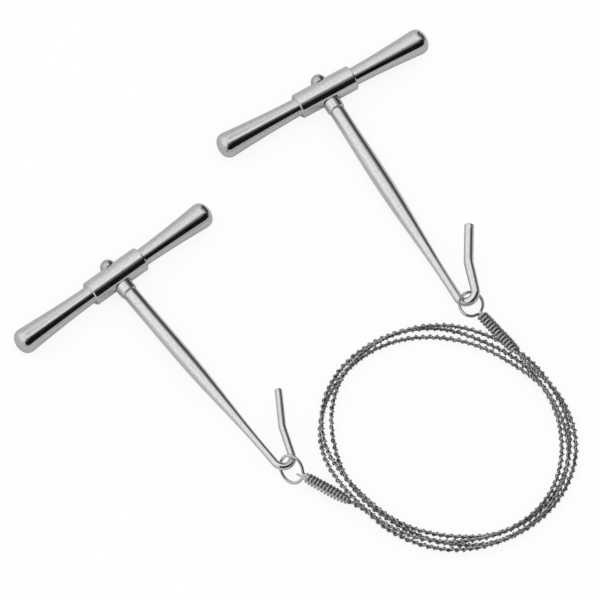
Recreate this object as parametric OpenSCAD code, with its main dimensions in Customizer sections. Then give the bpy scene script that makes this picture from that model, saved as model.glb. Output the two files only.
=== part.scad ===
// Wire saw with two T-handles, laid out on a table as it is stored:
// each hook holds one eye of a twisted saw wire that lies in a loose coil.
// Lengths are in millimetres and angles in degrees. +Z is up and Z = 0 is the table.

/* [Grips] */
// Reach of the left grip from the shaft's axis, a little longer than the right one's
bar_left = 40.9; // [30:0.1:55]
// Reach of the right grip from the shaft's axis
bar_right = 39; // [30:0.1:55]
// Largest diameter of a grip, near its end
grip_end_d = 8.7; // [7:0.1:12]
// Diameter of a grip where it leaves the sleeve
grip_neck_d = 6.1; // [5.8:0.1:6.8]
// How fast a grip flares: 1 is a straight cone
grip_flare = 1.5; // [1:0.1:2.5]
// Length of the rounded end of a grip
grip_round = 3.6; // [1:0.1:5]
// Diameter of the spigot that holds a grip in the sleeve
spigot_d = 5.4; // [4.4:0.1:5.6]

/* [Sleeve] */
// Length of the sleeve
sleeve_len = 21.2; // [16:0.2:30]
// Outer diameter of the sleeve
sleeve_d = 8.6; // [8.4:0.1:11]
// Chamfer at the sleeve's ends
sleeve_chamfer = 0.4; // [0.1:0.1:0.8]
// Depth of the flat seats cut for the collar and the screw head
seat_depth = 0.7; // [0.4:0.1:0.9]

/* [Swivel] */
// Diameter of the pivot screw's shank
pivot_d = 3.2; // [2.4:0.1:3.6]
// Diameter of the pivot screw's domed head
head_d = 5.2; // [4.2:0.1:5.4]
// Height of the head's straight rim
head_rim = 1; // [0.4:0.1:1.5]
// Height of the head's dome above its rim
head_dome = 2.1; // [1:0.1:2.4]
// Outer diameter of the swivel collar
collar_d = 6; // [5:0.1:6.4]
// Length of the swivel collar
collar_len = 3.9; // [2:0.1:8]
// Rounding of the collar's edges
collar_round = 0.6; // [0.2:0.1:0.9]
// Depth of the screw in the shaft
screw_depth = 9; // [5:0.5:14]

/* [Hook shaft] */
// Distance from the crossbar's axis to the middle of hook a's bend
hook_reach_a = 85.7; // [70:0.1:110]
// Distance from the crossbar's axis to the middle of hook b's bend
hook_reach_b = 85.5; // [70:0.1:110]
// Diameter of the shaft at the collar
shaft_top_d = 5.2; // [5:0.1:6]
// Diameter of shaft a at its belly
belly_d_a = 5.8; // [5.3:0.1:7]
// Diameter of shaft b at its belly
belly_d_b = 5.4; // [5.3:0.1:7]
// Distance from the crossbar's axis to the belly
belly_at = 36; // [28:1:45]
// Length over which the belly tapers to the hook's wire
taper_len = 44; // [30:1:46]
// Diameter of hook a's wire
hook_d_a = 3; // [2.2:0.1:3.2]
// Diameter of hook b's wire
hook_d_b = 2.5; // [2.2:0.1:3.2]
// Radius of the hook's bend, at the middle of the wire
bend_r = 3.2; // [2.8:0.1:4]
// Angle between shaft a and its hook's leg
leg_open_a = 18.6; // [10:0.1:30]
// Angle between shaft b and its hook's leg
leg_open_b = 21.5; // [10:0.1:30]
// Angle between the shaft and the leg's tip
tip_open = 33; // [30:0.2:45]
// Length of hook a's leg from the bend to the kink
leg_len_a = 9; // [8:0.1:16]
// Length of hook b's leg from the bend to the kink
leg_len_b = 10.7; // [8:0.1:16]
// Length of the straight tip of hook a's leg
tip_len_a = 11.7; // [6:0.1:18]
// Length of the straight tip of hook b's leg, which was cut a little longer
tip_len_b = 12.9; // [6:0.1:18]
// Rounding of the tip's edge
tip_round = 0.5; // [0.2:0.1:1]
// Radius of the kink, at the middle of the wire
kink_r = 6; // [3:0.5:12]

/* [Eyes and whippings] */
// Diameter of the eye's wire
eye_wire_d = 1; // [0.7:0.05:1.1]
// Half the length of the oval eye a, at the middle of its wire
eye_long_a = 6.2; // [4.4:0.1:6.6]
// Half the width of the oval eye a
eye_short_a = 3.95; // [3.4:0.05:4.4]
// Half the length of the oval eye b, at the middle of its wire
eye_long_b = 4.8; // [4:0.1:5.4]
// Half the width of the oval eye b
eye_short_b = 3.7; // [3.5:0.1:4.2]
// Distance from eye a's middle to its whipping
whip_start_a = 4.65; // [4.2:0.05:8]
// Distance from eye b's middle to its whipping
whip_start_b = 4.85; // [4.6:0.05:8]
// Diameter of the whipping's wire
whip_wire_d = 0.8; // [0.6:0.05:0.95]
// Number of turns in a whipping
whip_turns = 12; // [6:1:12]

/* [Saw wire] */
// Diameter of the twisted saw wire over its teeth
wire_d = 1.7; // [1.4:0.1:1.8]
// Half the coil's width
coil_rx = 39.6; // [36:0.1:42]
// Half the coil's depth
coil_ry = 37.9; // [35:0.1:40]
// How far the coil bulges along its slanting long axis
coil_bulge = 1.9; // [0:0.1:3]
// How far the turns wander to either side
wander = 1.95; // [1.8:0.05:2.4]
// How much more or less they wander from one part of the coil to the next
wander_swing = 0.4; // [0:0.05:0.5]
// How far the turns ride up and down over each other
weave = 1.6; // [1.5:0.05:2]

/* [Hidden] */
$fn = 48;

// Running fits
shank_gap = 0.05;
face_gap = 0.1;
press_gap = 0.01;

// Where each handle lies: the crossbar's middle, the shaft's heading,
// the height of the hook's bend and the tilt of the hook about the shaft
bar_z = max(grip_end_d, sleeve_d) / 2;
bar_a = [25.9, 57.7, bar_z];
heading_a = -59.2;
bend_z_a = 1.75;
tilt_a = 18;
bar_b = [-43.2, -9.25, bar_z];
heading_b = -52;
bend_z_b = 5.2;
tilt_b = -8;

// Where each eye lies: its middle, the far end of its whipping, its roll about that line,
// and how far round from that line its long axis points
eye_a = [74.02, -19.05, 3.98];
whip_end_a = [88.9, -36.6, 5];
roll_a = -31.1;
slant_a = 118.8;
eye_b = [14.84, -78.21, 3.54];
whip_end_b = [33.8, -89.0, 2.15];
roll_b = 43.2;
slant_b = 137.3;

// Where the coil lies, and its long axis
coil_mid = [66.1, -66.2];
coil_lean = 137;
coil_start = 53.6;
coil_travel = 1277.2;

// How the turns change places, and where they lie closest together
weave_phase = 81.1;
weave_rate = 5 / 4;
narrow_at = 42;
table_gap = 0.05;

// Where the other turns gather under whipping a and over whipping b, and how far to either side.
// For each: how far outside the coil's middle line it lies there, and how far above the lowest.
gather_a = -4.65;
gather_reach_a = 35;
beside_a = [[2.55, 0.2], [0, 0], [-2.6, 1.1]];
gather_b = coil_travel - 6.7;
gather_reach_b = 41;
over_b = [[1.3, 4.4], [-1.75, 3.85], [-1.65, 1.4]];

// Derived sizes
sleeve_r = sleeve_d / 2;
spigot_r = spigot_d / 2;
seat_x = sleeve_r - seat_depth;
collar_x = seat_x + face_gap;
shaft_x = collar_x + collar_len;
wire_r = wire_d / 2;
eye_wire_r = eye_wire_d / 2;
leg_gap = eye_wire_r + 0.05;
whip_mid_r = leg_gap + eye_wire_r + 0.05 + whip_wire_d / 2;
oval_a = [eye_long_a, eye_short_a, slant_a];
oval_b = [eye_long_b, eye_short_b, slant_b];
whip_len_a = norm(whip_end_a - eye_a) - whip_start_a;
whip_len_b = norm(whip_end_b - eye_b) - whip_start_b;

// Turning a point about X, then Y, then Z, as rotate() does
function turn_x(p, a) = [p.x, p.y * cos(a) - p.z * sin(a), p.y * sin(a) + p.z * cos(a)];
function turn_y(p, a) = [p.x * cos(a) + p.z * sin(a), p.y, p.z * cos(a) - p.x * sin(a)];
function turn_z(p, a) = [p.x * cos(a) - p.y * sin(a), p.x * sin(a) + p.y * cos(a), p.z];
function turned(p, a) = turn_z(turn_y(turn_x(p, a[0]), a[1]), a[2]);
function unit(v) = v / norm(v);
function ease(t) = let (s = min(1, max(0, t))) s * s * (3 - 2 * s);
function mix(a, b, t) = a + (b - a) * t;

// Turns that lay a handle and an eye in their places
function handle_turn(heading, bend_z, tilt, reach) = [tilt, -atan2(bend_z - bar_z, reach), heading];
function eye_turn(mid, end, roll) =
    let (d = end - mid) [roll, -asin(d.z / norm(d)), atan2(d.y, d.x)];
function bend_mid(bar, turn, reach) = bar + turned([reach, bend_r, 0], turn);

turn_a = handle_turn(heading_a, bend_z_a, tilt_a, hook_reach_a);
turn_b = handle_turn(heading_b, bend_z_b, tilt_b, hook_reach_b);
eye_turn_a = eye_turn(eye_a, whip_end_a, roll_a);
eye_turn_b = eye_turn(eye_b, whip_end_b, roll_b);

// A tube through a list of points, with its direction and a direction across it at each
function ring(mid, dir, side, r, sides) =
    let (s = unit(side - dir * (side * dir)), t = cross(dir, s))
    [for (k = [0 : sides - 1]) mid + r * (cos(360 * k / sides) * s + sin(360 * k / sides) * t)];
function wall_faces(rings, sides) = [
    for (i = [0 : rings - 2], k = [0 : sides - 1], half = [0, 1])
        let (a = i * sides + k, b = i * sides + (k + 1) % sides)
        half == 0 ? [a, b + sides, b] : [a, a + sides, b + sides]
];
function cap_faces(rings, sides) = [
    for (k = [1 : sides - 2], end = [0, 1])
        let (last = (rings - 1) * sides)
        end == 0 ? [0, k, k + 1] : [last, last + k + 1, last + k]
];

module tube(pts, dirs, sidewise, r, sides) {
    rings = [for (i = [0 : len(pts) - 1]) each ring(pts[i], dirs[i], sidewise[i], r, sides)];
    polyhedron(rings, concat(wall_faces(len(pts), sides), cap_faces(len(pts), sides)));
}

// The saw wire's lay: travel is the angle gone round the coil since the first whipping.
// The turns change places as they go, and near each whipping the others gather out of its way.
function passes(travel, at) = round(abs(travel - at) / 360);
function near(travel, at, reach) =
    passes(travel, at) == 0 ? 0 : ease(1 - abs(abs(travel - at) - 360 * passes(travel, at)) / reach);
function spot(places, travel, at) = places[min(max(passes(travel, at), 1), len(places)) - 1];
function braid(travel) =
    let (
        phase = weave_phase - travel * weave_rate,
        wide = wander - wander_swing * cos(4 * (coil_start - travel - narrow_at))
    )
    [wide * cos(phase), weave * (1 + sin(phase))];
function gathered(travel) =
    [0, wire_r + table_gap] + mix(
        mix(braid(travel), spot(beside_a, travel, gather_a), near(travel, gather_a, gather_reach_a)),
        spot(over_b, travel, gather_b), near(travel, gather_b, gather_reach_b)
    );
function coil_point(travel) =
    let (
        a = coil_start - travel,
        lay = gathered(travel),
        out = coil_bulge * cos(2 * (a - coil_lean)) + lay[0]
    )
    [coil_mid.x + (coil_rx + out) * cos(a), coil_mid.y + (coil_ry + out) * sin(a), lay[1]];

// The wire leaves each whipping straight and then eases into the coil
step_len = (coil_rx + coil_ry) / 2 * PI / 180;
out_a = unit(whip_end_a - eye_a);
out_b = unit(whip_end_b - eye_b);
ease_len_a = 24;
ease_len_b = 13;
function saw_point(travel) =
    let (from_a = travel * step_len, from_b = (coil_travel - travel) * step_len, p = coil_point(travel))
    from_a < ease_len_a + wire_d
        ? mix(whip_end_a + out_a * from_a, p, ease((from_a - wire_d) / ease_len_a))
        : from_b < ease_len_b + wire_d
            ? mix(whip_end_b + out_b * from_b, p, ease((from_b - wire_d) / ease_len_b))
            : p;
straight = wire_d / step_len;
saw_travels = concat(
    [0, straight],
    [for (t = [15 : 15 : coil_travel - 30]) t],
    [for (t = [-20 : 5 : -5]) coil_travel + t],
    [coil_travel - straight, coil_travel]
);
function saw_dir(travel) =
    unit(saw_point(min(travel + 0.5, coil_travel)) - saw_point(max(travel - 0.5, 0)));

// The whipping's helix round the eye's legs, with a straight tail at each end
function helix_point(turns, len) =
    let (a = 360 * turns)
    [
        whip_wire_d + (len - 2 * whip_wire_d) * turns / whip_turns,
        whip_mid_r * cos(a),
        -whip_mid_r * sin(a)
    ];
function helix_dir(turns, len) =
    let (a = 360 * turns, round_step = 2 * PI * whip_mid_r)
    unit([(len - 2 * whip_wire_d) / whip_turns, -round_step * sin(a), -round_step * cos(a)]);

// Least distance between stretches of a path that are far apart along it
function least(pts, apart) = min([
    for (i = [0 : len(pts) - 1 - apart], j = [i + apart : len(pts) - 1]) norm(pts[i] - pts[j])
]);
saw_samples = [for (t = [0 : 4 : coil_travel]) saw_point(t)];
whip_samples = [for (t = [0 : 1 / 16 : whip_turns]) helix_point(t, min(whip_len_a, whip_len_b))];
whip_r = whip_mid_r + whip_wire_d / 2;
function to_whip(end, out, len, pts) = min([
    for (x = [0 : 1 : len], p = pts) norm(end - out * x - p)
]) - whip_r - wire_r;
sawn_past_a = [for (t = [30 : 4 : coil_travel]) saw_point(t)];
sawn_before_b = [for (t = [0 : 4 : coil_travel - 30]) saw_point(t)];
saw_len = (len(saw_samples) - 1) * 4 * step_len;

echo(least_gap_saw_wire = least(saw_samples, 30) - wire_d);
echo(least_gap_whipping = least(whip_samples, 9) - whip_wire_d);
echo(saw_to_whipping_a = to_whip(whip_end_a, out_a, whip_len_a, sawn_past_a));
echo(saw_to_whipping_b = to_whip(whip_end_b, out_b, whip_len_b, sawn_before_b));
echo(saw_length = saw_len);
echo(bend_mid_a = bend_mid(bar_a, turn_a, hook_reach_a));
echo(bend_mid_b = bend_mid(bar_b, turn_b, hook_reach_b));
echo(turn_a = turn_a, turn_b = turn_b);

module lay_bar(bar, turn) {
    translate(bar) rotate([0, turn[1], turn[2]]) children();
}

module lay_hook(bar, turn) {
    translate(bar) rotate(turn) children();
}

module lay_eye(eye, turn) {
    translate(eye) rotate(turn) children();
}

// Grip, along +Y from the crossbar's middle: a flared peg with a domed end and a spigot
function grip_r(y, reach) =
    let (t = (y - sleeve_len / 2) / (reach - grip_round - sleeve_len / 2))
    (grip_neck_d + (grip_end_d - grip_neck_d) * pow(max(t, 0), grip_flare)) / 2;

module grip(reach) {
    inner = pivot_d / 2 + 0.6;
    shoulder = sleeve_len / 2;
    flare_end = reach - grip_round;
    end_r = grip_end_d / 2;
    flare = [for (i = [0 : 8]) let (y = mix(shoulder, flare_end, i / 8)) [grip_r(y, reach), y]];
    dome = [
        for (a = [10 : 10 : 90])
            [end_r * sqrt(1 - pow(sin(a), 2.6)), flare_end + grip_round * sin(a)]
    ];
    rotate([-90, 0, 0])
        rotate_extrude()
            polygon(concat(
                [[0, inner], [spigot_r - press_gap, inner], [spigot_r - press_gap, shoulder]],
                flare, dome
            ));
}

module sleeve() {
    difference() {
        rotate([-90, 0, 0])
            rotate_extrude()
                polygon([
                    [spigot_r, -sleeve_len / 2],
                    [sleeve_r - sleeve_chamfer, -sleeve_len / 2],
                    [sleeve_r, -sleeve_len / 2 + sleeve_chamfer],
                    [sleeve_r, sleeve_len / 2 - sleeve_chamfer],
                    [sleeve_r - sleeve_chamfer, sleeve_len / 2],
                    [spigot_r, sleeve_len / 2]
                ]);
        rotate([0, 90, 0]) cylinder(d = pivot_d + 2 * shank_gap, h = 3 * sleeve_d, center = true);
        translate([seat_x, 0, 0]) rotate([0, 90, 0]) cylinder(d = collar_d + 0.6, h = sleeve_d);
        translate([-seat_x, 0, 0]) rotate([0, -90, 0]) cylinder(d = head_d + 0.6, h = sleeve_d);
    }
}

// Pivot screw: domed head on the far seat, shank through the sleeve and collar into the shaft
module pivot_screw() {
    head_x = seat_x + face_gap;
    dome_r = (head_dome * head_dome + head_d * head_d / 4) / (2 * head_dome);
    spread = asin(head_d / 2 / dome_r);
    dome = [
        for (i = [0 : 8])
            let (a = spread * (1 - i / 8))
            [dome_r * sin(a), head_x + head_rim + head_dome - dome_r * (1 - cos(a))]
    ];
    rotate([0, -90, 0])
        rotate_extrude()
            polygon(concat(
                [
                    [0, -shaft_x - screw_depth],
                    [pivot_d / 2, -shaft_x - screw_depth],
                    [pivot_d / 2, head_x],
                    [head_d / 2, head_x]
                ],
                dome
            ));
}

module swivel_collar() {
    r = collar_d / 2;
    bore_r = pivot_d / 2 + press_gap;
    corner = [for (a = [0 : 15 : 90]) collar_round * [cos(a) - 1, sin(a) - 1]];
    translate([collar_x, 0, 0])
        rotate([0, 90, 0])
            rotate_extrude()
                polygon(concat(
                    [[bore_r, 0]],
                    [for (c = corner) [r + c[1], -c[0]]],
                    [for (c = corner) [r + c[0], collar_len + c[1]]],
                    [[bore_r, collar_len]]
                ));
}

// Radius of the shaft at a distance from the crossbar's axis
function shaft_r(x, belly_d, hook_d) =
    x < belly_at
        ? mix(shaft_top_d, belly_d, ease((x - shaft_x) / (belly_at - shaft_x))) / 2
        : mix(belly_d, hook_d, ease((x - belly_at) / taper_len)) / 2;

module shaft(reach, belly_d, hook_d) {
    taper_end = belly_at + taper_len;
    stations = concat(
        [for (i = [0 : 5]) mix(shaft_x, belly_at, i / 6)],
        [for (i = [0 : 16]) mix(belly_at, taper_end, i / 16)]
    );
    difference() {
        rotate([0, 90, 0])
            rotate_extrude()
                polygon(concat(
                    [[0, shaft_x], [shaft_top_d / 2 - 0.3, shaft_x]],
                    [[shaft_top_d / 2, shaft_x + 0.3]],
                    [for (x = stations) if (x > shaft_x) [shaft_r(x, belly_d, hook_d), x]],
                    [[hook_d / 2, reach], [0, reach]]
                ));
        translate([shaft_x - 1, 0, 0])
            rotate([0, 90, 0])
                cylinder(r = pivot_d / 2 + press_gap, h = screw_depth + 1 + press_gap);
    }
}

// Round wire bent in the XY plane, through stations that are [point, heading]
function ahead(s, len) = [s[0] + len * [cos(s[1]), sin(s[1])], s[1]];
function bent(s, r, turn) =
    let (forward = [cos(s[1]), sin(s[1])], inward = sign(turn) * [-sin(s[1]), cos(s[1])])
    [s[0] + r * (sin(abs(turn)) * forward + (1 - cos(turn)) * inward), s[1] + turn];
function bend_of(s, r, turn, steps) = [for (i = [1 : steps]) bent(s, r, turn * i / steps)];
function last(list) = list[len(list) - 1];

module bent_wire(stations, r, sides) {
    tube(
        [for (s = stations) [s[0].x, s[0].y, 0]],
        [for (s = stations) [cos(s[1]), sin(s[1]), 0]],
        [for (s = stations) [0, 0, 1]],
        r, sides
    );
}

// The leg's straight tip, with a rounded edge
module leg_tip(len, hook_r) {
    edge = [
        for (a = [0 : 15 : 90])
            [hook_r - tip_round * (1 - cos(a)), len + tip_round * sin(a)]
    ];
    rotate([0, 90, 0])
        rotate_extrude() polygon(concat([[0, 0], [hook_r, 0]], edge, [[0, len + tip_round]]));
}

// The bend and the leg run a little way into the shaft and into the tip
module hook_shaft(reach, belly_d, hook_d, leg_open, leg_len, tip_len) {
    inset = 1.5;
    start = [[reach, 0], 0];
    bend = bend_of(start, bend_r, 180 - leg_open, 18);
    leg_end = ahead(last(bend), leg_len);
    kink = bend_of(leg_end, kink_r, leg_open - tip_open, 3);
    tip = last(kink);
    union() {
        shaft(reach, belly_d, hook_d);
        bent_wire(
            concat([ahead(start, -inset), start], bend, [leg_end], kink, [ahead(tip, inset)]),
            hook_d / 2 - press_gap, 24
        );
        translate([tip[0].x, tip[0].y, 0]) rotate([0, 0, tip[1]]) leg_tip(tip_len, hook_d / 2);
    }
}

// Eye: an open oval whose two ends run together and on side by side under the whipping
function slanted(p, a) = [p.x * cos(a) - p.y * sin(a), p.x * sin(a) + p.y * cos(a)];
function oval_point(o, a) = slanted([o[0] * cos(a - o[2]), o[1] * sin(a - o[2])], o[2]);
function oval_dir(o, a) = unit(slanted([-o[0] * sin(a - o[2]), o[1] * cos(a - o[2])], o[2]));

// An easy curve from one point and direction to another, as [point, direction] along it
function curve(p, p_dir, q, q_dir, steps) =
    let (
        pull = norm(q - p) * 0.4,
        r = p + p_dir * pull,
        s = q - q_dir * pull
    )
    [
        for (i = [1 : steps])
            let (t = i / steps, u = 1 - t)
            [
                u * u * u * p + 3 * u * u * t * r + 3 * u * t * t * s + t * t * t * q,
                unit(u * u * (r - p) + 2 * u * t * (s - r) + t * t * (q - s))
            ]
    ];

module eye_loop(oval, whip_start, whip_len) {
    opening = 24;
    leg_x = whip_start + eye_wire_r;
    end_x = whip_start + whip_len;
    near_neck = curve([leg_x, leg_gap], [-1, 0], oval_point(oval, opening), oval_dir(oval, opening), 4);
    round = [
        for (a = [opening + 12 : 12 : 360 - opening])
            [oval_point(oval, a), oval_dir(oval, a)]
    ];
    far_neck = curve(last(round)[0], last(round)[1], [leg_x, -leg_gap], [1, 0], 4);
    path = concat(
        [[[end_x, leg_gap], [-1, 0]], [[leg_x, leg_gap], [-1, 0]]], near_neck,
        round, far_neck, [[[end_x, -leg_gap], [1, 0]]]
    );
    tube(
        [for (s = path) [s[0].x, s[0].y, 0]],
        [for (s = path) [s[1].x, s[1].y, 0]],
        [for (s = path) [0, 0, 1]],
        eye_wire_r, 12
    );
}

module whipping(whip_start, whip_len) {
    turns = [for (i = [0 : 8 * whip_turns]) i / 8];
    first = helix_dir(0, whip_len);
    last = helix_dir(whip_turns, whip_len);
    pts = concat(
        [helix_point(0, whip_len) - first * whip_wire_d],
        [for (t = turns) helix_point(t, whip_len)],
        [helix_point(whip_turns, whip_len) + last * whip_wire_d]
    );
    dirs = concat([first], [for (t = turns) helix_dir(t, whip_len)], [last]);
    outward = concat([0], turns, [whip_turns]);
    translate([whip_start, 0, 0])
        tube(pts, dirs, [for (t = outward) [0, cos(360 * t), -sin(360 * t)]], whip_wire_d / 2, 6);
}

module grip_left_a() color("#c4c4c6") lay_bar(bar_a, turn_a) mirror([0, 1, 0]) grip(bar_left);
module grip_right_a() color("#c4c4c6") lay_bar(bar_a, turn_a) grip(bar_right);
module sleeve_a() color("#b2b2b5") lay_bar(bar_a, turn_a) sleeve();
module pivot_screw_a() color("#8f8f93") lay_hook(bar_a, turn_a) pivot_screw();
module swivel_collar_a() color("#d0d0d2") lay_hook(bar_a, turn_a) swivel_collar();
module hook_shaft_a() {
    color("#bcbcbf")
        lay_hook(bar_a, turn_a) hook_shaft(hook_reach_a, belly_d_a, hook_d_a, leg_open_a, leg_len_a, tip_len_a);
}
module grip_left_b() color("#c4c4c6") lay_bar(bar_b, turn_b) mirror([0, 1, 0]) grip(bar_left);
module grip_right_b() color("#c4c4c6") lay_bar(bar_b, turn_b) grip(bar_right);
module sleeve_b() color("#b2b2b5") lay_bar(bar_b, turn_b) sleeve();
module pivot_screw_b() color("#8f8f93") lay_hook(bar_b, turn_b) pivot_screw();
module swivel_collar_b() color("#d0d0d2") lay_hook(bar_b, turn_b) swivel_collar();
module hook_shaft_b() {
    color("#bcbcbf")
        lay_hook(bar_b, turn_b) hook_shaft(hook_reach_b, belly_d_b, hook_d_b, leg_open_b, leg_len_b, tip_len_b);
}
module eye_loop_a() color("#a8a8ab") lay_eye(eye_a, eye_turn_a) eye_loop(oval_a, whip_start_a, whip_len_a);
module whipping_a() color("#7d7d80") lay_eye(eye_a, eye_turn_a) whipping(whip_start_a, whip_len_a);
module eye_loop_b() color("#a8a8ab") lay_eye(eye_b, eye_turn_b) eye_loop(oval_b, whip_start_b, whip_len_b);
module whipping_b() color("#7d7d80") lay_eye(eye_b, eye_turn_b) whipping(whip_start_b, whip_len_b);
module saw_wire() {
    color("#737376")
        tube(
            [for (t = saw_travels) saw_point(t)],
            [for (t = saw_travels) saw_dir(t)],
            [for (t = saw_travels) [0, 0, 1]],
            wire_r, 6
        );
}

grip_left_a();
grip_right_a();
sleeve_a();
pivot_screw_a();
swivel_collar_a();
hook_shaft_a();
grip_left_b();
grip_right_b();
sleeve_b();
pivot_screw_b();
swivel_collar_b();
hook_shaft_b();
eye_loop_a();
whipping_a();
eye_loop_b();
whipping_b();
saw_wire();
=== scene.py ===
import math
import random

import bpy
import numpy as np
from mathutils import Euler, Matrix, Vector


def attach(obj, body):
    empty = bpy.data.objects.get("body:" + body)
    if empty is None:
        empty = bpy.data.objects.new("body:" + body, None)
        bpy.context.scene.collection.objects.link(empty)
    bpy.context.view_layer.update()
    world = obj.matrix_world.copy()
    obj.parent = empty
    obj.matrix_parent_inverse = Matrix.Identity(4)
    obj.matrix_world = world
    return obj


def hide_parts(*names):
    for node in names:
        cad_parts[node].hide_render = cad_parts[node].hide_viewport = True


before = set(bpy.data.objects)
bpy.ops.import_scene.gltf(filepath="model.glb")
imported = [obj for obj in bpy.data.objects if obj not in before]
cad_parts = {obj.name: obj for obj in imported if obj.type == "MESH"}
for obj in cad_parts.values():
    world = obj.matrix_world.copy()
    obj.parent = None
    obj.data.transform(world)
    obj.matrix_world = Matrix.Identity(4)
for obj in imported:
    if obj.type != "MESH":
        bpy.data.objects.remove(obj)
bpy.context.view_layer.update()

MM = 0.001

# Sizes of the part, in millimetres and degrees, as in its source
SLEEVE_D, GRIP_END_D = 8.6, 8.7
SHAFT_X, SHAFT_TOP_D, BELLY_AT, TAPER_LEN = 7.6, 5.2, 36.0, 44.0
BEND_R, TIP_OPEN, KINK_R, TIP_ROUND = 3.2, 33.0, 6.0, 0.5
EYE_WIRE_D, LEG_GAP = 1.0, 0.55
WIRE_D, TABLE_GAP = 1.7, 0.05
BAR_Z = max(GRIP_END_D, SLEEVE_D) / 2

# Where the handles and the eyes lie
HANDLES = {
    "a": dict(bar=(25.9, 57.7, BAR_Z), heading=-59.2, bend_z=1.75, tilt=18.0),
    "b": dict(bar=(-43.2, -9.25, BAR_Z), heading=-52.0, bend_z=5.2, tilt=-8.0),
}
EYES = {
    "a": dict(mid=(74.02, -19.05, 3.98), end=(88.9, -36.6, 5.0), roll=-31.1, ease=24.0),
    "b": dict(mid=(14.84, -78.21, 3.54), end=(33.8, -89.0, 2.15), roll=43.2, ease=13.0),
}

# Each hook's own sizes. Hook a's leg is a little thicker to see than its source's.
HOOKS = {
    "a": dict(reach=85.7, belly_d=5.8, hook_d=3.0, leg_d=3.25, leg_open=18.6, leg_len=9.0, tip_len=11.7),
    "b": dict(reach=85.5, belly_d=5.4, hook_d=2.5, leg_d=2.5, leg_open=21.5, leg_len=10.7, tip_len=12.9),
}
SHAFT_FACE_R, SHAFT_EDGE = 1.7, 0.3
TIP_ANGLES = (20, 40, 60, 75, 90)
SHAFT_RINGS, BEND_RINGS, LEG_RINGS, LEG_GROWS, KINK_RINGS, TIP_RINGS, HOOK_SIDES = 80, 32, 8, 6, 6, 8, 40

# Each eye's oval: half its length, half its width and its slant. The opening is where its legs leave it.
OVALS = {"a": (6.2, 3.95, 118.8), "b": (4.8, 3.7, 137.3)}
EYE_OPENING, EYE_STEP, EYE_CURVE_RINGS, EYE_LEG_RINGS, EYE_SIDES = 24, 4, 16, 14, 20
CURVE_PULL = 0.4

# The whippings: where each starts, and its winding's radius by the share of its length
WHIP_START = {"a": 4.65, "b": 4.85}
WHIP_SHAPE = {
    "a": ((0.0, 1.4), (0.12, 1.5), (0.85, 1.5), (1.0, 1.3)),
    "b": ((0.0, 1.1), (0.1, 1.4), (0.25, 1.5), (0.75, 1.5), (0.9, 1.2), (1.0, 0.95)),
}
WHIP_SEED = {"a": 5, "b": 6}
WHIP_TURNS, WHIP_WIRE_D = 13, 0.95
WHIP_SLACK_ALONG, WHIP_SLACK_OUT = 0.07, 0.06
WHIP_RINGS, WHIP_SIDES = 28, 14

# Short ends of wire that stick out of the whippings
WIRE_END_D, WIRE_END_SIDES = 0.7, 12
WIRE_ENDS = {
    "a": (),
    "b": (((20.2, -81.4, 3.1), (18.9, -80.9, 3.1), (17.6, -80.3, 3.2), (16.5, -79.8, 3.3)),),
}

# The saw wire's route, and the wires that it is twisted from
COIL = dict(mid=(66.1, -66.2), rx=39.6, ry=37.9, bulge=1.9, lean=137.0, start=53.6, travel=1277.2)
BRAID = dict(phase=81.1, rate=5 / 4, wander=1.95, swing=0.4, weave=1.6, narrow_at=42.0)
GATHER_A = dict(at=-4.65, reach=35.0, places=((2.55, 0.2), (0, 0), (-2.6, 1.1)))
GATHER_B = dict(at=COIL["travel"] - 6.7, reach=41.0, places=((1.3, 4.4), (-1.75, 3.85), (-1.65, 1.4)))
LOW = WIRE_D / 2 + TABLE_GAP
STEP_LEN = (COIL["rx"] + COIL["ry"]) / 2 * math.pi / 180
SAW_POINTS, STRAND_STEP = 860, 0.2
CORE = dict(offset=0.3, pitch=4.7, wobble=0.25)
CORE_WIRES, CORE_R, CORE_SIDES, CORE_SEED = 2, 0.3, 7, 3
WOUND = dict(offset=0.7, pitch=2.35, wobble=0.9)
WOUND_R, WOUND_SIDES, WOUND_PHASE, WOUND_SEED = 0.25, 6, 1.0, 9
WOBBLE_SWELL, WOBBLE_SHIFT = 0.12, 7

# Steel of the pieces: colour, roughness, size of the marks in millimetres, how far they stretch along
# the piece's own axes, and their depth. Wires have bright flecks that partly stand in for glints, and
# painted shade darkens the gaps between them.
HANDLE_STEELS = {
    "grip": dict(base=(0.82, 0.82, 0.83), rough=0.09, grain=0.12, stretch=(3, 9, 3), bump=0.0012),
    "sleeve": dict(base=(0.86, 0.86, 0.87), rough=0.09, grain=0.12, stretch=(3, 9, 3), bump=0.0012),
    "screw": dict(base=(0.66, 0.66, 0.67), rough=0.1, grain=0.2, stretch=(1, 1, 1), bump=0.002),
    "collar": dict(base=(0.88, 0.88, 0.89), rough=0.11, grain=0.15, stretch=(2, 2, 2), bump=0.002),
    "shaft": dict(base=(0.9, 0.9, 0.91), rough=0.13, grain=0.12, stretch=(9, 3, 3), bump=0.0015),
}
SAW_STEEL = dict(base=(0.42, 0.42, 0.43), rough=0.28, grain=0.3, bump=0.03, glint_fleck=0.45, gap_shade=(0.5, 0.22))
WHIP_STEEL = dict(base=(0.62, 0.62, 0.63), rough=0.22, grain=0.4, bump=0.01, gap_shade=(0.7, 0.05))
EYE_STEEL = dict(base=(0.75, 0.75, 0.76), rough=0.18, grain=0.5, bump=0.008)
CAD_STEELS = {
    "grip_left": "grip",
    "grip_right": "grip",
    "sleeve": "sleeve",
    "pivot_screw": "screw",
    "swivel_collar": "collar",
}
LEVEL_STEELS = ("grip", "sleeve")
BLOTCH_SIZE, GLINT_FLECK_SIZE = 5, 0.5
TONES, SHEENS = (0.8, 1.1), (0.75, 1.3)
GLINT_FLECK_EDGE, GAP_SHADE_EDGE = (0.52, 0.62), (0.25, 0.85)
SHARP_ANGLE = 50

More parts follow.
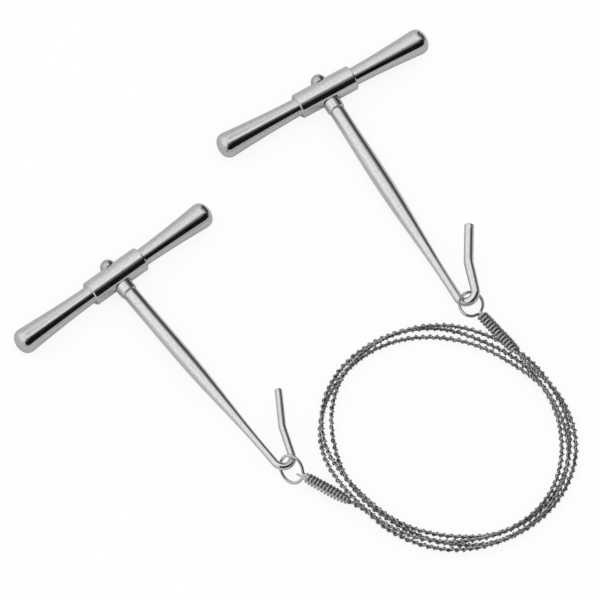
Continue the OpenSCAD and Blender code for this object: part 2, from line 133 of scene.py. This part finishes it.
# Camera: the photograph's steep view from the front, through a long lens
VIEW_W = 198 * MM
VIEW_MID = Vector((17.6, -15.8, 0)) * MM
ELEVATION = 66.0
DISTANCE, CLIP_END = 5.5, 50
SENSOR = 36.0

# The floor: half its side, its colour, how bright metal mirrors it, and how much it shows of shadows
FLOOR_HALF = 3.0
FLOOR_COLOUR = (0.9, 0.9, 0.9, 1)
FLOOR_MIRRORED = (0.54, 0.54, 0.54, 1)
FLOOR_SHADE = 0.14

# The studio that the metal mirrors: brightness by the height of a direction, all round and at each side.
# A side has a heading, how wide it is to either side of it, and the width of its soft edge.
STUDIO_ROUND = ((0.0, 0.5), (0.3, 0.58), (0.6, 0.7), (0.85, 0.85), (0.93, 0.84), (1.0, 0.82))
STUDIO_FRONT = (
    (0.0, 0.48), (0.23, 0.46), (0.29, 0.002), (0.8, 0.003),
    (0.88, 0.08), (0.94, 0.22), (0.975, 0.45), (1.0, 0.75),
)
STUDIO_RIGHT = ((0.0, 0.02), (0.35, 0.04), (0.55, 0.1), (0.75, 0.26), (0.87, 0.56), (0.94, 0.88))
STUDIO_LEFT = ((0.0, 0.6), (0.1, 0.63), (0.33, 0.72), (0.52, 0.84), (0.7, 0.91), (0.82, 0.9), (0.93, 0.8))
STUDIO_SIDES = ((175, 40, 10, STUDIO_LEFT), (-46, 62, 12, STUDIO_FRONT), (48, 38, 10, STUDIO_RIGHT))


def make_camera():
    cam = bpy.data.cameras.new("camera")
    obj = bpy.data.objects.new("camera", cam)
    bpy.context.scene.collection.objects.link(obj)
    cam.sensor_width = SENSOR
    cam.lens = SENSOR * DISTANCE / VIEW_W
    cam.clip_end = CLIP_END
    tilt = math.radians(ELEVATION)
    obj.location = VIEW_MID + DISTANCE * Vector((0, -math.cos(tilt), math.sin(tilt)))
    obj.rotation_euler = (math.pi / 2 - tilt, 0, 0)
    bpy.context.scene.camera = obj


# Geometry helpers
def unit(v):
    return v / np.linalg.norm(v)


def ease(t):
    t = min(1.0, max(0.0, t))
    return t * t * (3 - 2 * t)


def mix(a, b, t):
    return a + (b - a) * t


def frames_along(pts, side=(0, 0, 1)):
    """Direction, side and third direction at each point, turned as little as can be."""
    dirs = np.gradient(pts, axis=0)
    dirs /= np.linalg.norm(dirs, axis=1)[:, None]
    sides = np.empty_like(pts)
    s = np.array(side, float)
    for i, d in enumerate(dirs):
        s = s - d * (s @ d)
        s /= np.linalg.norm(s)
        sides[i] = s
    return dirs, sides, np.cross(dirs, sides)


def lengths_along(pts):
    steps = np.linalg.norm(np.diff(pts, axis=0), axis=1)
    return np.concatenate([[0], np.cumsum(steps)])


def resampled(pts, step):
    at = lengths_along(pts)
    new = np.linspace(0, at[-1], max(2, int(round(at[-1] / step)) + 1))
    return np.stack([np.interp(new, at, pts[:, i]) for i in range(3)], axis=1)


def tube_mesh(pts, radii, sides, side=(0, 0, 1)):
    """Vertices and faces of a round tube with flat capped ends."""
    pts = np.asarray(pts, float)
    _, first, second = frames_along(pts, side)
    a = np.arange(sides) * 2 * math.pi / sides
    radii = np.broadcast_to(np.asarray(radii, float), len(pts))
    ring = first[:, None] * np.cos(a)[None, :, None] + second[:, None] * np.sin(a)[None, :, None]
    verts = pts[:, None] + ring * radii[:, None, None]
    faces = []
    for i in range(len(pts) - 1):
        for k in range(sides):
            n = (k + 1) % sides
            low, up = i * sides, (i + 1) * sides
            faces.append((low + k, low + n, up + n, up + k))
    faces.append(tuple(range(sides - 1, -1, -1)))
    last = (len(pts) - 1) * sides
    faces.append(tuple(last + k for k in range(sides)))
    return verts.reshape(-1, 3), faces


def make_piece(name, parts, body, nodes, material):
    """One object from several lists of vertices (in millimetres) and faces."""
    verts, faces = [], []
    for v, f in parts:
        start = len(verts)
        verts.extend(map(tuple, np.asarray(v) * MM))
        faces.extend(tuple(start + i for i in face) for face in f)
    mesh = bpy.data.meshes.new(name)
    mesh.from_pydata(verts, [], faces)
    mesh.validate()
    mesh.shade_smooth()
    mesh.set_sharp_from_angle(angle=math.radians(SHARP_ANGLE))
    obj = bpy.data.objects.new(name, mesh)
    bpy.context.scene.collection.objects.link(obj)
    mesh.materials.append(material)
    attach(obj, body)
    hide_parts(*nodes)
    return obj


def turn_matrix(turn):
    return np.array(Euler([math.radians(t) for t in turn], "XYZ").to_matrix())


def placed(pts, mid, turn):
    return np.asarray(pts, float) @ turn_matrix(turn).T + np.array(mid)


def across(turn):
    """The direction across the plane that a wire is bent in."""
    return turn_matrix(turn) @ np.array([0, 0, 1.0])


def handle_turn(key):
    h = HANDLES[key]
    return (h["tilt"], -math.degrees(math.atan2(h["bend_z"] - BAR_Z, HOOKS[key]["reach"])), h["heading"])


def eye_out(e):
    return unit(np.subtract(e["end"], e["mid"]))


def eye_turn(e):
    d = eye_out(e)
    return (e["roll"], -math.degrees(math.asin(d[2])), math.degrees(math.atan2(d[1], d[0])))


# Bent wire in a plane: stations are (x, y, heading)
def ahead(s, length):
    a = math.radians(s[2])
    return (s[0] + length * math.cos(a), s[1] + length * math.sin(a), s[2])


def bent(s, r, turn):
    a, t = math.radians(s[2]), math.radians(turn)
    side = math.copysign(1, turn)
    out, up = r * math.sin(abs(t)), r * (1 - math.cos(t))
    x = s[0] + out * math.cos(a) - side * up * math.sin(a)
    y = s[1] + out * math.sin(a) + side * up * math.cos(a)
    return (x, y, s[2] + turn)


def bend_of(s, r, turn, steps):
    return [bent(s, r, turn * i / steps) for i in range(1, steps + 1)]


def run_of(s, length, steps):
    return [ahead(s, length * i / steps) for i in range(1, steps + 1)]


# The saw wire's lay: travel is the angle gone round the coil since the first whipping
def gathering(travel, gather):
    """Where a pass that lies at another turn of a whipping's end gathers, and how far it has."""
    gone = abs(travel - gather["at"])
    turn = round(gone / 360)
    if turn == 0:
        return np.zeros(2), 0.0
    place = gather["places"][min(turn, len(gather["places"])) - 1]
    return np.array(place, float), ease(1 - abs(gone - 360 * turn) / gather["reach"])


def gathered(travel):
    """How far out and how high the wire lies, as its turns change places."""
    phase = math.radians(BRAID["phase"] - travel * BRAID["rate"])
    around = math.radians(4 * (COIL["start"] - travel - BRAID["narrow_at"]))
    wide = BRAID["wander"] - BRAID["swing"] * math.cos(around)
    lay = np.array([wide * math.cos(phase), BRAID["weave"] * (1 + math.sin(phase))])
    for gather in (GATHER_A, GATHER_B):
        place, share = gathering(travel, gather)
        lay = mix(lay, place, share)
    return lay + (0, LOW)


def coil_point(travel):
    a = math.radians(COIL["start"] - travel)
    lay = gathered(travel)
    out = COIL["bulge"] * math.cos(2 * (a - math.radians(COIL["lean"]))) + lay[0]
    x = COIL["mid"][0] + (COIL["rx"] + out) * math.cos(a)
    y = COIL["mid"][1] + (COIL["ry"] + out) * math.sin(a)
    return np.array([x, y, lay[1]])


def saw_point(travel):
    """The wire leaves each whipping straight and then eases into the coil."""
    p = coil_point(travel)
    for key, gone in (("a", travel * STEP_LEN), ("b", (COIL["travel"] - travel) * STEP_LEN)):
        e = EYES[key]
        if gone < e["ease"] + WIRE_D:
            return mix(np.array(e["end"]) + eye_out(e) * gone, p, ease((gone - WIRE_D) / e["ease"]))
    return p


def saw_path():
    return np.array([saw_point(t) for t in np.linspace(0, COIL["travel"], SAW_POINTS)])


def strand(path, offset, pitch, wobble, phase, seed):
    """Middle line of a wire that winds round the path, more or less evenly by its wobble."""
    _, first, second = frames_along(path)
    at = lengths_along(path)
    rng = np.random.default_rng(seed)
    knots = rng.uniform(-1, 1, int(at[-1] / pitch) + 3)
    drift = np.interp(at / pitch, np.arange(len(knots)), knots)
    a = 2 * math.pi * at / pitch + phase + wobble * drift
    r = offset * (1 + WOBBLE_SWELL * wobble * np.roll(drift, WOBBLE_SHIFT))
    return path + r[:, None] * (first * np.cos(a)[:, None] + second * np.sin(a)[:, None])


# Materials
def node(tree, kind, **values):
    """A new node. Values that start with in_ go to its inputs, the others are its settings."""
    n = tree.nodes.new(kind)
    for key, value in values.items():
        if key.startswith("in_"):
            n.inputs[key[3:].replace("_", " ")].default_value = value
        else:
            setattr(n, key, value)
    return n


def ranged(tree, value, edges, ends=(0.0, 1.0), how="LINEAR"):
    """A value between two edges, spread between two ends."""
    n = node(tree, "ShaderNodeMapRange", interpolation_type=how, in_From_Min=edges[0], in_From_Max=edges[1])
    n.inputs["To Min"].default_value = ends[0]
    n.inputs["To Max"].default_value = ends[1]
    tree.links.new(value, n.inputs["Value"])
    return n.outputs[0]


def scaled_by(tree, factor, colour=None, fixed=None):
    """A linked or fixed colour, made brighter or darker by a factor."""
    n = node(tree, "ShaderNodeVectorMath", operation="SCALE")
    if colour is None:
        n.inputs[0].default_value = fixed
    else:
        tree.links.new(colour, n.inputs[0])
    tree.links.new(factor, n.inputs["Scale"])
    return n.outputs[0]


def mixed(tree, share, low, high):
    """One shader or the other, by a share of 0 or 1."""
    n = node(tree, "ShaderNodeMixShader")
    tree.links.new(share, n.inputs[0])
    tree.links.new(low, n.inputs[1])
    tree.links.new(high, n.inputs[2])
    return n.outputs[0]


def glint_flecked(tree, coord, colour, bright):
    """Bright flecks on a colour: random spots of brighter steel that are partly painted glints."""
    spots = node(tree, "ShaderNodeTexNoise", in_Scale=1 / (GLINT_FLECK_SIZE * MM), in_Detail=2.0)
    tree.links.new(coord, spots.inputs["Vector"])
    n = node(tree, "ShaderNodeMix", data_type="RGBA")
    n.inputs[7].default_value = (*bright, 1)
    tree.links.new(ranged(tree, spots.outputs["Fac"], GLINT_FLECK_EDGE), n.inputs[0])
    tree.links.new(colour, n.inputs[6])
    return n.outputs[2]


def steel(name, base, rough, grain, bump, place=None, turn=None, stretch=(1, 1, 1), glint_fleck=0.0, gap_shade=None):
    """Ground or drawn steel, with its marks in the frame of the piece that lies at place and turn.

    gap_shade paints shade into the gaps between wires: how wide the darkened gaps are, in millimetres, and
    how bright they stay.
    """
    mat = bpy.data.materials.new(name)
    mat.use_nodes = True
    tree = mat.node_tree
    tree.nodes.clear()
    out = node(tree, "ShaderNodeOutputMaterial")
    bsdf = node(tree, "ShaderNodeBsdfPrincipled")
    bsdf.inputs["Metallic"].default_value = 1.0
    tree.links.new(bsdf.outputs[0], out.inputs[0])
    coord = node(tree, "ShaderNodeTexCoord").outputs["Object"]
    local = node(tree, "ShaderNodeMapping", vector_type="TEXTURE")
    if place is not None:
        local.inputs["Location"].default_value = Vector(place) * MM
        local.inputs["Rotation"].default_value = [math.radians(t) for t in turn]
    tree.links.new(coord, local.inputs[0])
    scaled = node(tree, "ShaderNodeMapping")
    scaled.inputs["Scale"].default_value = [1 / (grain * MM * s) for s in stretch]
    tree.links.new(local.outputs[0], scaled.inputs[0])
    marks = node(tree, "ShaderNodeTexNoise", in_Scale=1.0, in_Detail=4.0, in_Roughness=0.65)
    tree.links.new(scaled.outputs[0], marks.inputs["Vector"])
    blotch = node(tree, "ShaderNodeTexNoise", in_Scale=1 / (BLOTCH_SIZE * MM), in_Detail=3.0)
    tree.links.new(local.outputs[0], blotch.inputs["Vector"])

    noise_edges = (0.3, 0.7)
    colour = scaled_by(tree, ranged(tree, marks.outputs["Fac"], noise_edges, TONES), fixed=base)
    # Bright flecks in the colour, partly random tone and partly painted glints on the wires
    if glint_fleck:
        colour = glint_flecked(tree, coord, colour, [min(1, c + glint_fleck) for c in base])
    # Painted shade: ambient occlusion darkens the colour in the gaps between wires
    if gap_shade:
        gap, stays = gap_shade
        gap_occlusion = node(tree, "ShaderNodeAmbientOcclusion", samples=8)
        gap_occlusion.inputs["Distance"].default_value = gap * MM
        colour = scaled_by(tree, ranged(tree, gap_occlusion.outputs["AO"], GAP_SHADE_EDGE, (stays, 1.0)), colour)
    tree.links.new(colour, bsdf.inputs["Base Color"])
    sheen = ranged(tree, blotch.outputs["Fac"], noise_edges, [rough * s for s in SHEENS])
    tree.links.new(sheen, bsdf.inputs["Roughness"])
    relief = node(tree, "ShaderNodeBump", in_Strength=0.6, in_Distance=bump * MM)
    tree.links.new(marks.outputs["Fac"], relief.inputs["Height"])
    tree.links.new(relief.outputs[0], bsdf.inputs["Normal"])
    return mat


def repaint(node_name, material):
    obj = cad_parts[node_name]
    obj.data.materials.clear()
    obj.data.materials.append(material)


# Pieces
def shaft_radius(x, hook):
    if x < BELLY_AT:
        return mix(SHAFT_TOP_D, hook["belly_d"], ease((x - SHAFT_X) / (BELLY_AT - SHAFT_X))) / 2
    return mix(hook["belly_d"], hook["hook_d"], ease((x - BELLY_AT) / TAPER_LEN)) / 2


def make_hook(key, material):
    """The shaft with its bend, leg, kink and rounded tip, as one bent and swelling tube."""
    h = HOOKS[key]
    top = SHAFT_TOP_D / 2
    hook_r, leg_r = h["hook_d"] / 2, h["leg_d"] / 2
    inset = 0.3 * SHAFT_EDGE
    rim = ((0.0, SHAFT_FACE_R), (0.001, top - SHAFT_EDGE), (inset, top - inset), (SHAFT_EDGE, top))
    stations = [(SHAFT_X + x, 0.0, 0.0) for x, _ in rim]
    radii = [r for _, r in rim]
    for x in np.linspace(SHAFT_X + 1, h["reach"], SHAFT_RINGS):
        stations.append((x, 0.0, 0.0))
        radii.append(shaft_radius(x, h))
    bend = bend_of(stations[-1], BEND_R, 180 - h["leg_open"], BEND_RINGS)
    leg = run_of(bend[-1], h["leg_len"], LEG_RINGS)
    kink = bend_of(leg[-1], KINK_R, h["leg_open"] - TIP_OPEN, KINK_RINGS)
    tip = run_of(kink[-1], h["tip_len"], TIP_RINGS)
    stations += bend + leg + kink + tip
    radii += [hook_r] * len(bend)
    radii += [mix(hook_r, leg_r, ease(i / LEG_GROWS)) for i in range(1, LEG_RINGS + 1)]
    radii += [leg_r] * (len(kink) + len(tip))
    for a in TIP_ANGLES:
        stations.append(ahead(tip[-1], TIP_ROUND * math.sin(math.radians(a))))
        radii.append(leg_r - TIP_ROUND * (1 - math.cos(math.radians(a))))
    turn = handle_turn(key)
    pts = placed([(x, y, 0) for x, y, _ in stations], HANDLES[key]["bar"], turn)
    mesh = tube_mesh(pts, radii, HOOK_SIDES, across(turn))
    nodes = [f"hook_shaft_{key}"]
    return make_piece(f"hook_{key}_ground_shaft", [mesh], f"hook_{key}", nodes, material)


def whip_length(key):
    e = EYES[key]
    return np.linalg.norm(np.subtract(e["end"], e["mid"])) - WHIP_START[key]


def oval_at(oval, a):
    """Point and direction of an oval at an angle from the line to its whipping."""
    t, slant = math.radians(a - oval[2]), math.radians(oval[2])
    lay = np.array([[math.cos(slant), -math.sin(slant)], [math.sin(slant), math.cos(slant)]])
    point = lay @ (oval[0] * math.cos(t), oval[1] * math.sin(t))
    return point, unit(lay @ (-oval[0] * math.sin(t), oval[1] * math.cos(t)))


def curve(p, p_dir, q, q_dir, steps):
    """An easy curve from one point and direction to another."""
    pull = np.linalg.norm(q - p) * CURVE_PULL
    r, s = p + p_dir * pull, q - q_dir * pull
    t = (np.arange(1, steps + 1) / steps)[:, None]
    u = 1 - t
    return u**3 * p + 3 * u * u * t * r + 3 * u * t * t * s + t**3 * q


def make_eye(key, material):
    """An oval of wire whose two ends run side by side under the whipping."""
    e, oval, start = EYES[key], OVALS[key], WHIP_START[key]
    leg_x = start + EYE_WIRE_D / 2
    back, forth = np.array([-1.0, 0.0]), np.array([1.0, 0.0])
    first, last = np.array([leg_x, LEG_GAP]), np.array([leg_x, -LEG_GAP])
    leg = np.linspace(start + whip_length(key), leg_x, EYE_LEG_RINGS)
    angles = np.arange(EYE_OPENING + EYE_STEP, 360 - EYE_OPENING + 1, EYE_STEP)
    path = [(x, LEG_GAP) for x in leg]
    path += list(curve(first, back, *oval_at(oval, EYE_OPENING), EYE_CURVE_RINGS))
    path += [oval_at(oval, a)[0] for a in angles]
    path += list(curve(*oval_at(oval, 360 - EYE_OPENING), last, forth, EYE_CURVE_RINGS))
    path += [(x, -LEG_GAP) for x in leg[-2::-1]]
    turn = eye_turn(e)
    pts = placed([(x, y, 0) for x, y in path], e["mid"], turn)
    parts = [tube_mesh(pts, EYE_WIRE_D / 2, EYE_SIDES, across(turn))]
    parts += [tube_mesh(end, WIRE_END_D / 2, WIRE_END_SIDES) for end in WIRE_ENDS[key]]
    return make_piece(f"eye_{key}_wire", parts, "saw", [f"eye_loop_{key}"], material)


def make_whipping(key, material):
    """A left-hand winding whose turns lie a little loose."""
    e, start, length = EYES[key], WHIP_START[key], whip_length(key)
    shape = np.array(WHIP_SHAPE[key])
    rng = random.Random(WHIP_SEED[key])
    slack = [rng.uniform(-1, 1) for _ in range(WHIP_TURNS + 2)]
    pts = []
    for i in range(WHIP_TURNS * WHIP_RINGS + 1):
        turns = i / WHIP_RINGS
        a = 2 * math.pi * turns
        k = int(turns)
        loose = mix(slack[k], slack[k + 1], turns - k)
        gone = (length - WHIP_WIRE_D) * turns / WHIP_TURNS
        x = start + WHIP_WIRE_D / 2 + gone + WHIP_SLACK_ALONG * loose
        r = np.interp(turns / WHIP_TURNS, shape[:, 0], shape[:, 1]) + WHIP_SLACK_OUT * loose
        pts.append((x, r * math.cos(a), -r * math.sin(a)))
    pts = placed(pts, e["mid"], eye_turn(e))
    mesh = tube_mesh(pts, WHIP_WIRE_D / 2, WHIP_SIDES, eye_out(e))
    return make_piece(f"whipping_{key}_turns", [mesh], "saw", [f"whipping_{key}"], material)


def make_saw(material):
    """Two core wires twisted together, and a looser wire wound round them that lies on the table."""
    path = saw_path()
    fine = resampled(path, STRAND_STEP)
    parts = []
    for k in range(CORE_WIRES):
        line = strand(fine, **CORE, phase=k * math.pi, seed=CORE_SEED + k)
        parts.append(tube_mesh(line[::2], CORE_R, CORE_SIDES))
    line = strand(fine, **WOUND, phase=WOUND_PHASE, seed=WOUND_SEED)
    line[:, 2] = np.maximum(line[:, 2], WOUND_R)
    parts.append(tube_mesh(line, WOUND_R, WOUND_SIDES))
    piece = make_piece("saw_wire_strands", parts, "saw", ["saw_wire"], material)
    return piece, path


def make_stage():
    """A floor that the camera sees as white paper with soft shadows, and metal as a grey one."""
    mesh = bpy.data.meshes.new("floor")
    corners = [(x * FLOOR_HALF, y * FLOOR_HALF, 0) for x, y in ((-1, -1), (1, -1), (1, 1), (-1, 1))]
    mesh.from_pydata(corners, [], [(0, 1, 2, 3)])
    floor = bpy.data.objects.new("floor", mesh)
    bpy.context.scene.collection.objects.link(floor)
    mat = bpy.data.materials.new("floor_white")
    mat.use_nodes = True
    tree = mat.node_tree
    tree.nodes.clear()
    out = node(tree, "ShaderNodeOutputMaterial")
    rays = node(tree, "ShaderNodeLightPath")
    bounce = node(tree, "ShaderNodeBsdfDiffuse", in_Color=FLOOR_COLOUR)
    mirrored = node(tree, "ShaderNodeBsdfDiffuse", in_Color=FLOOR_MIRRORED)
    glossy = rays.outputs["Is Glossy Ray"]
    other = mixed(tree, glossy, bounce.outputs[0], mirrored.outputs[0])
    shaded = node(tree, "ShaderNodeBsdfDiffuse", in_Color=(1, 1, 1, 1))
    white = node(tree, "ShaderNodeEmission", in_Color=(1, 1, 1, 1), in_Strength=1.0)
    paper = node(tree, "ShaderNodeMixShader", in_Fac=FLOOR_SHADE)
    tree.links.new(white.outputs[0], paper.inputs[1])
    tree.links.new(shaded.outputs[0], paper.inputs[2])
    final = mixed(tree, rays.outputs["Is Camera Ray"], other, paper.outputs[0])
    tree.links.new(final, out.inputs[0])
    mesh.materials.append(mat)


def ramp(tree, height, stops):
    """Brightness by the height of a direction: stops are (height, brightness)."""
    n = node(tree, "ShaderNodeValToRGB")
    points = n.color_ramp.elements
    while len(points) < len(stops):
        points.new(0.5)
    for point, (at, value) in zip(points, stops):
        point.position = at
        point.color = (value, value, value, 1)
    tree.links.new(height, n.inputs[0])
    return n.outputs[0]


def side_mask(tree, direction, heading, wide, edge):
    """1 for directions within wide degrees of a heading, seen from above, and soft at the edge."""
    flat = node(tree, "ShaderNodeVectorMath", operation="MULTIPLY")
    flat.inputs[1].default_value = (1, 1, 0)
    tree.links.new(direction, flat.inputs[0])
    level = node(tree, "ShaderNodeVectorMath", operation="NORMALIZE")
    tree.links.new(flat.outputs[0], level.inputs[0])
    dot = node(tree, "ShaderNodeVectorMath", operation="DOT_PRODUCT")
    a = math.radians(heading)
    dot.inputs[1].default_value = (math.cos(a), math.sin(a), 0)
    tree.links.new(level.outputs[0], dot.inputs[0])
    edges = [math.cos(math.radians(wide + e)) for e in (edge, -edge)]
    return ranged(tree, dot.outputs["Value"], edges, how="SMOOTHSTEP")


def make_world():
    """Even light on everything, and a studio of light and dark sides for what is mirrored."""
    world = bpy.data.worlds.new("studio")
    bpy.context.scene.world = world
    world.use_nodes = True
    tree = world.node_tree
    tree.nodes.clear()
    out = node(tree, "ShaderNodeOutputWorld")
    direction = node(tree, "ShaderNodeTexCoord").outputs["Generated"]
    parts = node(tree, "ShaderNodeSeparateXYZ")
    tree.links.new(direction, parts.inputs[0])
    height = parts.outputs["Z"]
    value = ramp(tree, height, STUDIO_ROUND)
    for heading, wide, edge, stops in STUDIO_SIDES:
        lit = node(tree, "ShaderNodeMix", data_type="RGBA")
        tree.links.new(side_mask(tree, direction, heading, wide, edge), lit.inputs[0])
        tree.links.new(value, lit.inputs[6])
        tree.links.new(ramp(tree, height, stops), lit.inputs[7])
        value = lit.outputs[2]
    studio = node(tree, "ShaderNodeBackground", in_Strength=1.0)
    tree.links.new(value, studio.inputs["Color"])
    even = node(tree, "ShaderNodeBackground", in_Color=(1, 1, 1, 1), in_Strength=1.0)
    glossy = node(tree, "ShaderNodeLightPath").outputs["Is Glossy Ray"]
    seen = mixed(tree, glossy, even.outputs[0], studio.outputs[0])
    tree.links.new(seen, out.inputs[0])


def make_cord():
    """The saw wire with its eyes and whippings."""
    saw_steel = steel("saw_strand_steel", **SAW_STEEL)
    whip_steel = steel("whipping_steel", **WHIP_STEEL)
    eye_steel = steel("eye_steel", **EYE_STEEL)
    saw, path = make_saw(saw_steel)
    for key in EYES:
        make_eye(key, eye_steel)
        make_whipping(key, whip_steel)


def dress_handle(key):
    """Steel on the handle's CAD pieces, and its hook. The crossbar lies level, the rest is tilted."""
    turn = handle_turn(key)
    level = (0, *turn[1:])
    steels = {}
    for kind, look in HANDLE_STEELS.items():
        lay = level if kind in LEVEL_STEELS else turn
        steels[kind] = steel(f"{kind}_{key}_steel", place=HANDLES[key]["bar"], turn=lay, **look)
    for cad_node, kind in CAD_STEELS.items():
        repaint(f"{cad_node}_{key}", steels[kind])
    make_hook(key, steels["shaft"])


def main():
    bpy.context.scene.view_settings.view_transform = "Standard"
    make_camera()
    make_stage()
    make_world()
    make_cord()
    for key in HANDLES:
        dress_handle(key)

    bpy.context.view_layer.update()


main()
